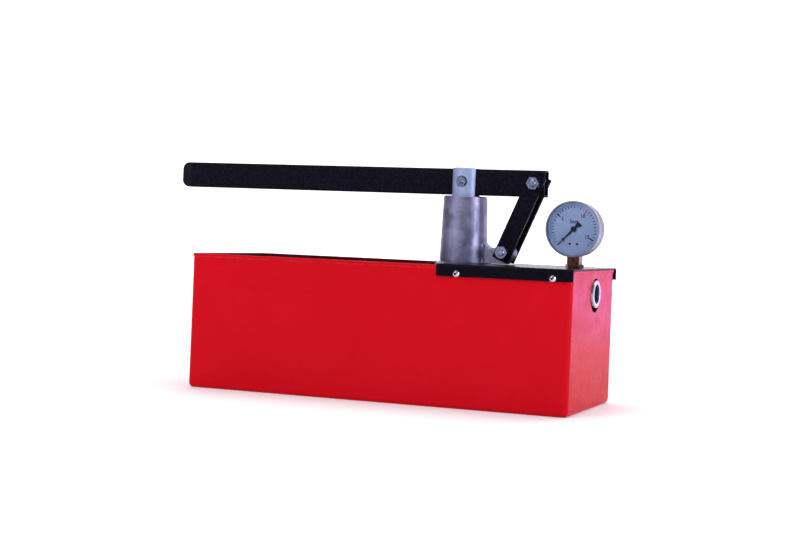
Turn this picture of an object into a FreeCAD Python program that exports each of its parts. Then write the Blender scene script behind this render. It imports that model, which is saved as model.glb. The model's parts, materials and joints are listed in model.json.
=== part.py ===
import FreeCAD, Part
import math
import os

V = FreeCAD.Vector
X, Y, Z = V(1, 0, 0), V(0, 1, 0), V(0, 0, 1)

# Hand lever pressure-test pump, millimetres.
# Origin: middle of the tank's underside. +X towards the outlet, -Y the front, +Z up.

# --- tank: folded sheet box, open on top -------------------------------------
tank_length = 458.0
tank_width = 172.0
tank_height = 155.0
tank_sheet = 1.2
tank_corner = 6.0
tank_base_corner = 5.0
hem_stand_out = 1.0
hem_height = 3.6
hem_round = 0.9

# --- where the pump stands in the tank ---------------------------------------
column_from_outlet_wall = 158.5
pump_y = 8.0

# --- cover: a folded sheet channel over the outlet end -----------------------
cover_sheet = 1.5
cover_flange_drop = 13.5
cover_bend = 2.5
cover_side_gap = 0.1
cover_overhang = 1.0
cover_edge_past_axis = 5.5
cover_notch_gap = 0.5
cover_screw_d = 4.0
cover_screw_head_d = 7.6
cover_screw_head_h = 2.2
cover_screw_socket = 2.5
cover_screw_length = 8.0
cover_screw_inset = 23.0
cover_screw_above_edge = 3.0
cover_nut_flats = 7.0
cover_nut_height = 3.2

# --- casting: column, barrel, feet, delivery arm -----------------------------
column_top_d = 50.0
column_base_d = 54.8
column_above_rim = 77.5
column_edge = 1.2
collar_d = 65.0
collar_thickness = 4.0
collar_slope_height = 3.0
collar_below_rim = 0.2
spigot_d = 43.0
spigot_height = 6.0
barrel_d = 48.0
cylinder_bore = 35.0
block_length = 84.0
block_width = 74.0
block_thickness = 11.0
block_height = 43.0
foot_thickness = 8.0
foot_opening = 48.0
pillar_d = 14.0
stud_inset = 10.0
casting_corner = 6.0
arm_d = 30.0
arm_bore = 16.0
arm_boss_d = 34.0
arm_boss_from_axis = 29.0
arm_spigot_d = 20.0
arm_spigot_length = 8.0
outlet_below_rim = 26.7
riser_d = 24.0
riser_gap_under_cover = 3.0

# --- plunger, gland and guide ------------------------------------------------
plunger_d = 32.0
plunger_gap_over_valve = 21.0
plunger_above_pin = 16.0
plunger_slot_below_pin = 26.5
plunger_edge = 1.0
gland_bore = 41.0
gland_ring_height = 7.0
gland_pin_hole_d = 2.0
gland_pin_hole_depth = 2.0
guide_bush_height = 13.0
seal_height = 8.0
seal_lip = 1.6
running_gap = 0.05

# --- lever and its two links -------------------------------------------------
handle_length = 467.5
handle_height = 30.0
handle_width = 15.0
handle_wall = 2.0
handle_edge = 2.5
handle_rest_gap = 1.5
handle_past_pivot = 10.5
handle_cap_round = 8.5
handle_cap_length = 12.0
handle_plug_length = 14.0
handle_inner_round = 1.0
handle_slot_gap = 0.4
pin_slot_length = 11.0
pin_slot_height = 8.4
upper_pivot_reach = 86.0
link_lean = 34.0
link_rise = 79.0
link_width = 20.0
link_thickness = 4.0
link_overhang = 9.5
link_corner = 1.0
link_gap = 0.5
lug_round = 11.0
lug_above_cover = 0.6
lug_foot_reach = 2.0
lug_under_deg = 35.0
lug_hollow = 11.5
lug_edge = 1.5
lug_fillet = 5.0
lug_root = 1.0

# --- lever fasteners ---------------------------------------------------------
pivot_bolt_d = 8.0
pivot_flats = 13.0
pivot_nut_height = 6.5
pivot_head_height = 5.3
pivot_washer_d = 13.6
pivot_washer_thickness = 1.6
pivot_bolt_past_nut = 2.0
pivot_bolt_gap = 0.1
pivot_bolt_edge = 0.8
pin_bolt_d = 6.0
pin_flats = 10.0
pin_nut_height = 5.0
pin_head_height = 4.0
pin_flat_depth = 3.5
pin_bolt_past_nut = 1.5
pin_bolt_edge = 0.6
sleeve_d = 12.0

# --- suction valve -----------------------------------------------------------
suction_thread_d = 30.0
suction_hex_flats = 36.0
suction_hex_height = 8.0
suction_spigot_d = 18.0
suction_spigot_length = 10.0
suction_hole = 10.0
suction_chamber = 17.0
suction_body_rise = 21.0
suction_ball_d = 14.0
suction_lift = 2.5
ball_stop_d = 2.5
ball_stop_gap = 0.1
suction_seat_depth = 2.0
seat_gap = 0.05
strainer_d = 34.0
strainer_height = 22.0
strainer_wall = 1.0
strainer_hole = 3.0
strainer_columns = 16
strainer_rows = 4

# --- delivery valve and outlet -----------------------------------------------
delivery_hole = 8.0
delivery_seat_past_boss = 3.0
delivery_seat_length = 7.0
delivery_ball_d = 11.0
delivery_spring_length = 12.0
delivery_spring_d = 10.0
delivery_spring_wire = 1.0
delivery_spring_turns = 5
retainer_length = 5.0
retainer_hole = 6.0
retainer_slot_width = 1.6
retainer_slot_depth = 1.5
fitting_flange_d = 31.0
fitting_flange_length = 15.0
fitting_thread_d = 24.0
fitting_thread_length = 8.0
fitting_stand_out = 2.0
fitting_bore = 12.0
fitting_edge = 0.8
outlet_minor_d = 18.63
outlet_thread_length = 15.0
outlet_chamfer_d = 22.0
wall_hole_d = 38.0
wall_hole_drop = 1.5

# --- release valve, inside the tank under the cover's edge -------------------
release_from_axis = 70.0
release_side = 42.0
release_block = 24.0
release_neck_d = 18.0
release_hole = 5.0
release_seat_d = 4.0
release_seat_length = 4.0
release_seat_from_hole = 1.0
release_chamber_d = 12.0
release_drain_d = 4.0
spindle_d = 8.0
spindle_tip_length = 4.0
spindle_tip_d = 1.0
spindle_length = 56.0
spindle_edge = 1.0
gland_flats = 17.0
gland_length = 13.0
gland_thread_length = 5.0
knob_d = 28.0
knob_length = 14.0
knob_flutes = 8
knob_flute_d = 6.0
knob_edge = 1.5
knob_end_wall = 2.0

# --- pressure gauge ----------------------------------------------------------
gauge_from_outlet_wall = 25.4
gauge_above_cover = 43.1
gauge_d = 63.0
gauge_depth = 26.0
gauge_front_from_pump = 15.0
gauge_case_wall = 1.0
gauge_case_step = 1.0
bezel_depth = 6.0
bezel_face = 1.6
bezel_edge = 1.2
bezel_lap = 2.0
gauge_case_round = 2.0
gauge_fit_gap = 0.2
window_thickness = 1.6
window_inset = 1.2
dial_thickness = 0.6
dial_inset = 6.6
dial_d = 58.4
spacer_wall = 1.4
dial_hole = 3.0
pointer_thickness = 0.6
pointer_from_dial = 1.4
pointer_reach = 23.0
pointer_tail = 9.5
pointer_tail_width = 8.0
pointer_width = 2.4
pointer_hub_d = 6.0
pointer_hub_height = 2.0
pointer_shaft_d = 1.6
pointer_tip_width = 0.5
pointer_waist = 3.0
pointer_zero_deg = 225.0
stop_pin_d = 1.2
stop_pin_height = 2.6
stop_pin_share = 0.8
stop_pin_gap = 0.35
dial_screw_d = 2.6
dial_screw_spread = 4.3
dial_screw_drop = 16.5
dial_screw_height = 0.7
stem_flats = 14.0
stem_thread_d = 13.16
stem_engagement = 11.0
stem_hole = 4.0
stem_head = 12.0
stem_head_depth = 7.0
stem_head_drop = 16.0
stem_head_seat = 1.0
stem_case_lap = 3.0
locknut_flats = 19.0
locknut_height = 3.6
locknut_gap_over_cover = 0.3
stem_cover_gap = 1.5
movement_width = 22.0
movement_height = 24.0
movement_plate = 1.2
movement_gap = 5.0
movement_from_dial = 2.0
movement_corner = 2.0
movement_drop = 15.5
movement_pillar_d = 2.4
movement_pillar_inset = 2.4
movement_play = 0.2
pinion_d = 3.2
pinion_length = 4.0
pinion_overlap = 0.6
sector_centre_drop = 11.0
sector_thickness = 1.2
sector_mesh_gap = 0.06
sector_hub_d = 4.0
sector_foot = 3.0
sector_arbor_d = 1.6
sector_from_plate = 1.0
sector_half_angle = 24.0
sector_rest_angle = 23.15
bourdon_radius = 23.0
bourdon_section_y = 7.0
bourdon_section_r = 2.4
bourdon_sweep = 250.0
bourdon_from_movement = 6.0

# --- studs that hold the casting's foot --------------------------------------
stud_d = 6.0
stud_height = 17.0
stud_nut_flats = 10.0
stud_nut_height = 5.0
stud_washer_d = 12.0
stud_washer_thickness = 1.6
hole_gap = 0.3

# --- places worked out from the sizes above ----------------------------------
wall_x = tank_length / 2
half_width = tank_width / 2
rim_z = tank_height
cover_top = rim_z + cover_sheet
column_x = wall_x - column_from_outlet_wall
column_top = rim_z + column_above_rim
collar_top = rim_z - collar_below_rim
column_base = collar_top - collar_thickness
pin_z = column_top + handle_rest_gap + handle_height / 2
upper_x = column_x + upper_pivot_reach
lower_x = upper_x - link_lean
lower_z = pin_z - link_rise
outlet_z = rim_z - outlet_below_rim
gauge_x = wall_x - gauge_from_outlet_wall
gauge_z = cover_top + gauge_above_cover
gauge_front = pump_y - gauge_front_from_pump
gauge_back = gauge_front + gauge_depth
link_inner = handle_width / 2 + link_gap
link_outer = link_inner + link_thickness
arm_start = column_x + arm_boss_from_axis
arm_end = wall_x + fitting_stand_out - fitting_flange_length
ball_offset = math.sqrt(delivery_ball_d ** 2 - delivery_hole ** 2) / 2
delivery_seat_x = arm_start + delivery_seat_past_boss
delivery_ball_x = delivery_seat_x + delivery_seat_length + ball_offset + seat_gap
spring_start_x = delivery_ball_x + delivery_ball_d / 2
retainer_x = spring_start_x + delivery_spring_length
pin_flat_from_axis = plunger_d / 2 - pin_flat_depth
plunger_base = block_height + suction_body_rise + plunger_gap_over_valve
suction_seat_z = block_height + suction_seat_depth
suction_ball_z = (suction_seat_z + seat_gap
                  + math.sqrt(suction_ball_d ** 2 - suction_hole ** 2) / 2)
release_x = column_x + release_from_axis
release_y = pump_y - release_side
release_chamber_x = release_x - release_seat_from_hole - release_seat_length
spindle_front_x = (release_chamber_x - seat_gap - spindle_tip_length
                   * (spindle_d - release_seat_d) / (spindle_d - spindle_tip_d))
riser_top = rim_z - riser_gap_under_cover
dial_y = gauge_front + dial_inset
pointer_y = dial_y - pointer_from_dial
movement_y = dial_y + movement_from_dial
sector_z = gauge_z - sector_centre_drop
sector_y = movement_y + movement_plate + sector_from_plate
big = 1000.0


def box(x0, x1, y0, y1, z0, z1):
    return Part.makeBox(x1 - x0, y1 - y0, z1 - z0, V(x0, y0, z0))


def rod(diameter, start, axis, length):
    return Part.makeCylinder(diameter / 2, length, V(*start), axis)


def ring(outer, inner, start, axis, length):
    return rod(outer, start, axis, length).cut(rod(inner, start, axis, length))


def cone(base, tip, start, axis, length):
    return Part.makeCone(base / 2, tip / 2, length, V(*start), axis)


def ball(diameter, centre):
    return Part.makeSphere(diameter / 2, V(*centre))


def hexagon(flats, start, axis, length):
    """A hexagonal prism from start along axis, edges broken by a cone at both ends."""
    corner = flats / math.sqrt(3)
    points = [V(corner * math.cos(math.radians(60 * i)),
                corner * math.sin(math.radians(60 * i)), 0) for i in range(7)]
    prism = Part.Face(Part.makePolygon(points)).extrude(V(0, 0, length))
    chamfer = (corner - flats / 2) * 0.6
    barrel = Part.makeCone(flats / 2, flats / 2 + chamfer * 2, chamfer)
    middle = Part.makeCylinder(flats / 2 + chamfer * 2, length - 2 * chamfer, V(0, 0, chamfer))
    top = Part.makeCone(flats / 2 + chamfer * 2, flats / 2, chamfer, V(0, 0, length - chamfer))
    prism = prism.common(barrel.fuse([middle, top]))
    prism.Placement = FreeCAD.Placement(V(*start), FreeCAD.Rotation(Z, axis))
    return prism


def extrude_xz(points, y0, y1):
    """A prism from a closed outline in the XZ plane, points as (x, z)."""
    outline = [V(x, y0, z) for x, z in points]
    face = Part.Face(Part.makePolygon(outline + outline[:1]))
    return face.extrude(V(0, y1 - y0, 0))


def fillet(shape, radius, wanted):
    edges = [edge for edge in shape.Edges if wanted(edge)]
    return shape.makeFillet(radius, edges)


def along(edge, axis):
    """True for a straight edge parallel to axis."""
    if not isinstance(edge.Curve, Part.Line):
        return False
    return abs(abs(edge.tangentAt(edge.FirstParameter).dot(axis)) - 1) < 1e-6


def at(edge, **place):
    """True where every point of the edge has the given x, y or z."""
    bounds = edge.BoundBox
    lows = {"x": bounds.XMin, "y": bounds.YMin, "z": bounds.ZMin}
    highs = {"x": bounds.XMax, "y": bounds.YMax, "z": bounds.ZMax}
    return all(abs(lows[k] - v) < 1e-4 and abs(highs[k] - v) < 1e-4 for k, v in place.items())


def mirrored_y(shape, y):
    return shape.mirror(V(0, y, 0), Y)


# --- tank and cover ----------------------------------------------------------
def tray(grow, z0, z1, corner, base_corner):
    """The tank's outline grown sideways, as a solid between two heights."""
    solid = box(-wall_x - grow, wall_x + grow, -half_width - grow, half_width + grow, z0, z1)
    solid = fillet(solid, corner, lambda e: along(e, Z))
    if base_corner:
        solid = fillet(solid, base_corner, lambda e: at(e, z=z0))
    return solid


def screw_places():
    """X of the cover's screws, and their height."""
    left = column_x + cover_edge_past_axis + cover_screw_inset
    right = wall_x + cover_overhang + hem_stand_out - cover_screw_inset
    return (left, right), cover_top - cover_flange_drop + cover_screw_above_edge


def make_tank():
    shell = tray(0, 0, rim_z, tank_corner, tank_base_corner)
    hem = tray(hem_stand_out, rim_z - hem_height, rim_z, tank_corner + hem_stand_out, 0)
    hem = fillet(hem, hem_round, lambda e: at(e, z=rim_z - hem_height) or at(e, z=rim_z))
    inside = tray(-tank_sheet, tank_sheet, rim_z + 1, tank_corner - tank_sheet,
                  tank_base_corner - tank_sheet)
    shell = shell.fuse(hem).cut(inside)
    shell = shell.cut(rod(wall_hole_d, (wall_x - 5, pump_y, outlet_z - wall_hole_drop), X, 10))
    places, height = screw_places()
    for x in places:
        shell = shell.cut(rod(cover_screw_d + hole_gap, (x, -half_width - 5, height), Y,
                              tank_width + 10))
    return shell.removeSplitter()


def make_cover():
    left = column_x + cover_edge_past_axis
    right = wall_x + hem_stand_out + cover_overhang
    inner = half_width + hem_stand_out + cover_side_gap
    outer = inner + cover_sheet
    base = cover_top - cover_flange_drop
    skin = box(left, right, -outer, outer, base, cover_top)
    skin = fillet(skin, cover_bend, lambda e: along(e, X) and at(e, z=cover_top))
    hollow = box(left - 1, right + 1, -inner, inner, base - 1, rim_z)
    hollow = fillet(hollow, cover_bend - cover_sheet, lambda e: along(e, X) and at(e, z=rim_z))
    skin = skin.cut(hollow)
    skin = skin.cut(rod(collar_d + 2 * cover_notch_gap, (column_x, pump_y, base), Z, big))
    skin = skin.cut(rod(stem_thread_d + 2 * stem_cover_gap, (gauge_x, pump_y, base), Z, big))
    places, height = screw_places()
    for x in places:
        skin = skin.cut(rod(cover_screw_d + hole_gap, (x, -outer - 1, height), Y, 2 * outer + 2))
    return skin


def button_screw(x, z):
    """Button-head screw through the front flange, head outwards."""
    face = -(half_width + hem_stand_out + cover_side_gap + cover_sheet)
    radius = cover_screw_head_d / 2
    dome = (radius ** 2 + cover_screw_head_h ** 2) / (2 * cover_screw_head_h)
    crown, rim, seat = V(x, face - cover_screw_head_h, z), V(x + radius, face, z), V(x, face, z)
    half_way = math.asin(radius / dome) / 2
    on_dome = crown + V(dome * math.sin(half_way), dome * (1 - math.cos(half_way)), 0)
    outline = [Part.Arc(crown, on_dome, rim).toShape(), Part.makeLine(rim, seat),
               Part.makeLine(seat, crown)]
    head = Part.Face(Part.Wire(outline)).revolve(seat, Y, 360)
    shank = rod(cover_screw_d, (x, face, z), Y, cover_screw_length)
    socket = hexagon(cover_screw_socket, (x, face - cover_screw_head_h - 1, z), Y,
                     1 + cover_screw_head_h * 0.75)
    return head.cut(socket).fuse(shank)


def make_cover_screws():
    places, height = screw_places()
    front = [button_screw(x, height) for x in places]
    return Part.makeCompound(front + [mirrored_y(s, 0) for s in front])


def make_cover_nuts():
    places, height = screw_places()
    face = -(half_width - tank_sheet)
    nuts = []
    for x in places:
        nut = hexagon(cover_nut_flats, (x, face, height), Y, cover_nut_height)
        nut = nut.cut(rod(cover_screw_d, (x, face - 1, height), Y, cover_nut_height + 2))
        nuts += [nut, mirrored_y(nut, 0)]
    return Part.makeCompound(nuts)


# --- casting -----------------------------------------------------------------
def stud_places():
    dx = block_length / 2 - stud_inset
    dy = block_width / 2 - stud_inset
    return [(column_x + sx * dx, pump_y + sy * dy) for sx in (-1, 1) for sy in (-1, 1)]


def pillar_places():
    dx = block_length / 2 - stud_inset
    return [(column_x + sx * dx, pump_y) for sx in (-1, 1)]


def casting_plate(z0, thickness):
    plate = box(column_x - block_length / 2, column_x + block_length / 2,
                pump_y - block_width / 2, pump_y + block_width / 2, z0, z0 + thickness)
    return fillet(plate, casting_corner, lambda e: along(e, Z))


def column_radius(z):
    """The casting's draft: the column is widest where it stands on its collar."""
    share = (z - rim_z) / column_above_rim
    return (column_base_d + (column_top_d - column_base_d) * share) / 2


def lug():
    """The ear that carries the links' lower pivot, swept hollow into the column."""
    base = cover_top + lug_above_cover
    y0 = pump_y - handle_width / 2
    root_x = column_x + math.sqrt(column_radius(lower_z) ** 2 - (handle_width / 2) ** 2)
    root_x -= lug_root
    hollow_x = root_x + lug_hollow
    rise = math.sqrt((lug_hollow + lug_round) ** 2 - (lower_x - hollow_x) ** 2)
    hollow = V(hollow_x, y0, lower_z + rise)
    pivot = V(lower_x, y0, lower_z)
    outward = (hollow - pivot).normalize()
    neck = pivot + outward * lug_round
    sweep = math.atan2(outward.z, outward.x)
    shoulder = pivot + V(math.cos(sweep / 2), 0, math.sin(sweep / 2)) * lug_round
    root = hollow - V(lug_hollow, 0, 0)
    turn = (math.pi - sweep) / 2
    middle = hollow - V(math.cos(turn), 0, math.sin(turn)) * lug_hollow
    under = -math.radians(lug_under_deg)
    end = pivot + V(math.cos(under), 0, math.sin(under)) * lug_round
    edges = [Part.Arc(root, middle, neck).toShape(), Part.Arc(neck, shoulder, end).toShape()]
    corners = [end, V(lower_x + lug_foot_reach, y0, base), V(column_x, y0, base),
               V(column_x, y0, root.z), root]
    edges += [Part.makeLine(a, b) for a, b in zip(corners, corners[1:])]
    ear = Part.Face(Part.Wire(edges)).extrude(V(0, handle_width, 0))
    return fillet(ear, lug_edge, is_lug_rim)


def is_lug_rim(edge):
    """The ear's long outline edges, on its front and rear faces, outside the column."""
    bounds = edge.BoundBox
    flat = bounds.YLength < 1e-4
    return (flat and bounds.XMax > lower_x - lug_round - lug_hollow
            and bounds.ZMax > lower_z - lug_round and bounds.XMin > column_x + 1)


def make_column():
    """Drafted column with its ear, on a collar that stands on the barrel."""
    column = Part.makeCone(column_radius(collar_top), column_top_d / 2, column_top - collar_top,
                           V(column_x, pump_y, collar_top), Z)
    column = column.makeChamfer(column_edge, [e for e in column.Edges if at(e, z=column_top)])
    column = fillet(column.fuse(lug()), lug_fillet, is_lug_seam)
    collar = rod(collar_d, (column_x, pump_y, column_base), Z, collar_thickness)
    slope = Part.makeCone(collar_d / 2, column_radius(collar_top + collar_slope_height) - 0.1,
                          collar_slope_height, V(column_x, pump_y, collar_top), Z)
    column = column.fuse([collar, slope])
    head = gland_ring_height + guide_bush_height + seal_height
    column = column.cut([rod(cylinder_bore, (column_x, pump_y, column_base - 1), Z, big),
                         rod(gland_bore, (column_x, pump_y, column_top - head), Z, big),
                         rod(spigot_d, (column_x, pump_y, column_base - 1), Z, spigot_height + 1),
                         rod(pivot_bolt_d + 2 * pivot_bolt_gap, (lower_x, pump_y - 50, lower_z),
                             Y, 100)])
    return column.removeSplitter()


def is_lug_seam(edge):
    """The two upright edges where the lug's faces meet the column."""
    bounds = edge.BoundBox
    return (bounds.YLength < 1e-4 and bounds.ZLength > lug_round
            and abs(bounds.XMax - column_x - column_base_d / 2) < column_base_d / 10)


def make_barrel():
    """Cylinder barrel on its valve block, two pillars and foot plate."""
    centre = (column_x, pump_y)
    barrel = rod(barrel_d, (*centre, block_height), Z, column_base - block_height)
    parts = [rod(spigot_d, (*centre, block_height), Z, column_base + spigot_height - block_height),
             rod(arm_boss_d, (*centre, outlet_z), X, arm_boss_from_axis),
             casting_plate(block_height, block_thickness),
             casting_plate(tank_sheet, foot_thickness)]
    for x, y in pillar_places():
        parts.append(rod(pillar_d, (x, y, tank_sheet), Z, block_height))
    cuts = [rod(cylinder_bore, (*centre, block_height + suction_body_rise), Z, big),
            rod(suction_thread_d, (*centre, block_height - 1), Z, suction_body_rise + 1),
            rod(foot_opening, (*centre, tank_sheet - 1), Z, foot_thickness + 2),
            rod(delivery_hole, (*centre, outlet_z), X, big),
            rod(arm_spigot_d, (arm_start - arm_spigot_length, pump_y, outlet_z), X, big)]
    for x, y in stud_places():
        cuts.append(rod(stud_d + 2 * hole_gap, (x, y, tank_sheet - 1), Z, foot_thickness + 2))
    return barrel.fuse(parts).cut(cuts).removeSplitter()


def make_delivery_arm():
    """Screwed into the barrel: holds the delivery valve, gauge riser and release valve."""
    centre = (pump_y, outlet_z)
    arm = rod(arm_d, (arm_start, *centre), X, arm_end - arm_start)
    half = release_block / 2
    block = box(release_x - half, release_x + half, release_y - half, release_y + half,
                outlet_z - half, outlet_z + half)
    parts = [rod(arm_spigot_d, (arm_start - arm_spigot_length, *centre), X,
                 arm_spigot_length + arm_d / 2),
             rod(riser_d, (gauge_x, pump_y, outlet_z), Z, riser_top - outlet_z),
             fillet(block, casting_corner / 2, lambda e: along(e, Z)),
             rod(release_neck_d, (release_x, release_y, outlet_z), Y, release_side)]
    cuts = [rod(delivery_hole, (column_x, *centre), X, arm_end - column_x),
            rod(arm_bore, (delivery_seat_x, *centre), X, big),
            rod(fitting_thread_d, (arm_end - fitting_thread_length, *centre), X, big),
            rod(stem_thread_d, (gauge_x, pump_y, riser_top - stem_engagement), Z, big),
            rod(stem_hole, (gauge_x, pump_y, outlet_z), Z, big),
            rod(release_hole, (release_x, release_y, outlet_z), Y, release_side),
            rod(release_seat_d, (release_x, release_y, outlet_z), -X,
                release_x - release_chamber_x),
            rod(release_chamber_d, (release_chamber_x, release_y, outlet_z), -X, release_block),
            rod(release_drain_d, (release_chamber_x - release_drain_d / 2, release_y, outlet_z),
                -Z, release_block)]
    return arm.fuse(parts).cut(cuts).removeSplitter()


def make_floor_studs():
    return Part.makeCompound([rod(stud_d, (x, y, tank_sheet), Z, stud_height)
                              for x, y in stud_places()])


def make_foot_washers():
    top = tank_sheet + foot_thickness
    return Part.makeCompound([ring(stud_washer_d, stud_d, (x, y, top), Z, stud_washer_thickness)
                              for x, y in stud_places()])


def make_foot_nuts():
    top = tank_sheet + foot_thickness + stud_washer_thickness
    nuts = []
    for x, y in stud_places():
        nut = hexagon(stud_nut_flats, (x, y, top), Z, stud_nut_height)
        nuts.append(nut.cut(rod(stud_d, (x, y, top - 1), Z, stud_nut_height + 2)))
    return Part.makeCompound(nuts)


# --- plunger and what guides it ----------------------------------------------
def make_plunger():
    top = pin_z + plunger_above_pin
    body = rod(plunger_d, (column_x, pump_y, plunger_base), Z, top - plunger_base)
    body = body.makeChamfer(plunger_edge, [e for e in body.Edges
                                           if at(e, z=top) or at(e, z=plunger_base)])
    slot = handle_width / 2 + handle_slot_gap
    floor = pin_z - plunger_slot_below_pin
    body = body.cut(box(column_x - plunger_d, column_x + plunger_d, pump_y - slot, pump_y + slot,
                        floor, top + 1))
    body = body.cut(rod(pin_bolt_d, (column_x, pump_y - plunger_d, pin_z), Y, 2 * plunger_d))
    for side in (-1, 1):
        start = pump_y + side * pin_flat_from_axis
        spot = rod(pin_flats * 1.35, (column_x, start, pin_z), Y * side, plunger_d)
        body = body.cut(spot)
    return body


def make_gland_ring():
    base = column_top - gland_ring_height
    body = ring(gland_bore, plunger_d + 4 * running_gap, (column_x, pump_y, base), Z,
                gland_ring_height)
    for side in (-1, 1):
        x = column_x + side * (gland_bore + plunger_d) / 4
        body = body.cut(rod(gland_pin_hole_d, (x, pump_y, column_top - gland_pin_hole_depth), Z,
                            gland_pin_hole_depth + 1))
    return body


def make_guide_bush():
    base = column_top - gland_ring_height - guide_bush_height
    return ring(gland_bore, plunger_d + 2 * running_gap, (column_x, pump_y, base), Z,
                guide_bush_height)


def make_plunger_seal():
    """A U-cup: its open side faces the water."""
    base = column_top - gland_ring_height - guide_bush_height - seal_height
    cup = ring(gland_bore, plunger_d + 2 * running_gap, (column_x, pump_y, base), Z, seal_height)
    groove = ring(gland_bore - 2 * seal_lip, plunger_d + 2 * seal_lip,
                  (column_x, pump_y, base - 1), Z, seal_height / 2 + 1)
    return cup.cut(groove)


# --- suction valve -----------------------------------------------------------
def make_suction_body():
    hex_base = block_height - suction_hex_height
    spigot_base = hex_base - suction_spigot_length
    centre = (column_x, pump_y)
    body = rod(suction_thread_d, (*centre, block_height), Z, suction_body_rise)
    body = body.fuse([hexagon(suction_hex_flats, (*centre, hex_base), Z, suction_hex_height),
                      rod(suction_spigot_d, (*centre, spigot_base), Z, suction_spigot_length)])
    body = body.cut(rod(suction_hole, (*centre, spigot_base - 1), Z, big))
    body = body.cut(rod(suction_chamber, (*centre, suction_seat_z), Z, big))
    pin_start = (column_x, pump_y - suction_thread_d, ball_stop_z())
    return body.cut(rod(ball_stop_d, pin_start, Y, 2 * suction_thread_d))


def ball_stop_z():
    return suction_ball_z + suction_ball_d / 2 + suction_lift + ball_stop_d / 2 + ball_stop_gap


def make_ball_stop():
    length = suction_thread_d - 1
    return rod(ball_stop_d, (column_x, pump_y - length / 2, ball_stop_z()), Y, length)


def make_suction_ball():
    return ball(suction_ball_d, (column_x, pump_y, suction_ball_z))


def make_strainer():
    """A perforated cup that clips on the suction spigot."""
    top = block_height - suction_hex_height
    base = top - strainer_height
    centre = (column_x, pump_y)
    cup = rod(strainer_d, (*centre, base), Z, strainer_height)
    cup = cup.cut(rod(strainer_d - 2 * strainer_wall, (*centre, base + strainer_wall), Z,
                      strainer_height - 2 * strainer_wall))
    cup = cup.cut(rod(suction_spigot_d, (*centre, base + strainer_wall + 1), Z, big))
    holes = []
    pitch = (strainer_height - 6 * strainer_wall) / strainer_rows
    for row in range(strainer_rows):
        z = base + 3 * strainer_wall + (row + 0.5) * pitch
        for column in range(strainer_columns // 2):
            angle = math.pi * (column + row % 2 / 2) / (strainer_columns // 2)
            axis = V(math.cos(angle), math.sin(angle), 0)
            start = V(*centre, z) - axis * strainer_d
            holes.append(Part.makeCylinder(strainer_hole / 2, 2 * strainer_d, start, axis))
    return cup.cut(holes)


# --- delivery valve and outlet -----------------------------------------------
def make_delivery_seat():
    return ring(arm_bore, delivery_hole, (delivery_seat_x, pump_y, outlet_z), X,
                delivery_seat_length)


def make_delivery_ball():
    return ball(delivery_ball_d, (delivery_ball_x, pump_y, outlet_z))


def make_delivery_spring():
    """Coil spring; its ends are squared by the plates it touches."""
    wire = delivery_spring_wire
    coil_length = delivery_spring_length - wire - 2 * seat_gap
    helix = Part.makeHelix(coil_length / delivery_spring_turns, coil_length,
                           (delivery_spring_d - wire) / 2)
    start = V((delivery_spring_d - wire) / 2, 0, 0)
    profile = Part.Wire(Part.makeCircle(wire / 2, start, Y))
    coil = Part.Wire(helix.Edges).makePipeShell([profile], True, True)
    coil.Placement = FreeCAD.Placement(
        V(spring_start_x + wire / 2 + seat_gap, pump_y, outlet_z), FreeCAD.Rotation(Z, X))
    return coil


def make_spring_retainer():
    body = ring(arm_bore, retainer_hole, (retainer_x, pump_y, outlet_z), X, retainer_length)
    end = retainer_x + retainer_length
    slot = box(end - retainer_slot_depth, end + 1, pump_y - arm_bore, pump_y + arm_bore,
               outlet_z - retainer_slot_width / 2, outlet_z + retainer_slot_width / 2)
    return body.cut(slot)


def make_outlet_fitting():
    mouth = arm_end + fitting_flange_length
    centre = (pump_y, outlet_z)
    body = rod(fitting_flange_d, (arm_end, *centre), X, fitting_flange_length)
    body = body.makeChamfer(fitting_edge, [e for e in body.Edges if at(e, x=mouth)])
    body = body.fuse(rod(fitting_thread_d, (arm_end - fitting_thread_length, *centre), X,
                         fitting_thread_length))
    body = body.cut(rod(fitting_bore, (arm_end - fitting_thread_length - 1, *centre), X, big))
    body = body.cut(rod(outlet_minor_d, (mouth - outlet_thread_length, *centre), X, big))
    rim = (outlet_chamfer_d - outlet_minor_d) / 2
    return body.cut(cone(outlet_minor_d, outlet_chamfer_d + 2, (mouth - rim, *centre), X, rim + 1))


# --- release valve -----------------------------------------------------------
def make_release_gland():
    face = release_x - release_block / 2
    centre = (release_y, outlet_z)
    nut = hexagon(gland_flats, (face, *centre), -X, gland_length - gland_thread_length)
    nut = nut.fuse(rod(release_chamber_d, (face, *centre), X, gland_thread_length))
    return nut.cut(rod(spindle_d + 2 * running_gap, (face - gland_length, *centre), X, big))


def make_release_oring():
    """Packed against the gland's inner end, round the spindle."""
    wire = (release_chamber_d - spindle_d) / 2 - running_gap
    x = release_x - release_block / 2 + gland_thread_length + wire / 2
    return Part.makeTorus((release_chamber_d - wire) / 2, wire / 2, V(x, release_y, outlet_z), X)


def make_release_spindle():
    centre = (release_y, outlet_z)
    tip = cone(spindle_d, spindle_tip_d, (spindle_front_x, *centre), X, spindle_tip_length)
    shank = rod(spindle_d, (spindle_front_x, *centre), -X, spindle_length)
    shank = shank.makeChamfer(spindle_edge, [e for e in shank.Edges
                                    if at(e, x=spindle_front_x - spindle_length)])
    return shank.fuse(tip).removeSplitter()


def knob_start():
    """X of the knob's inner face, on the outer end of the spindle."""
    return spindle_front_x - spindle_length + knob_length - knob_end_wall


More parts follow.
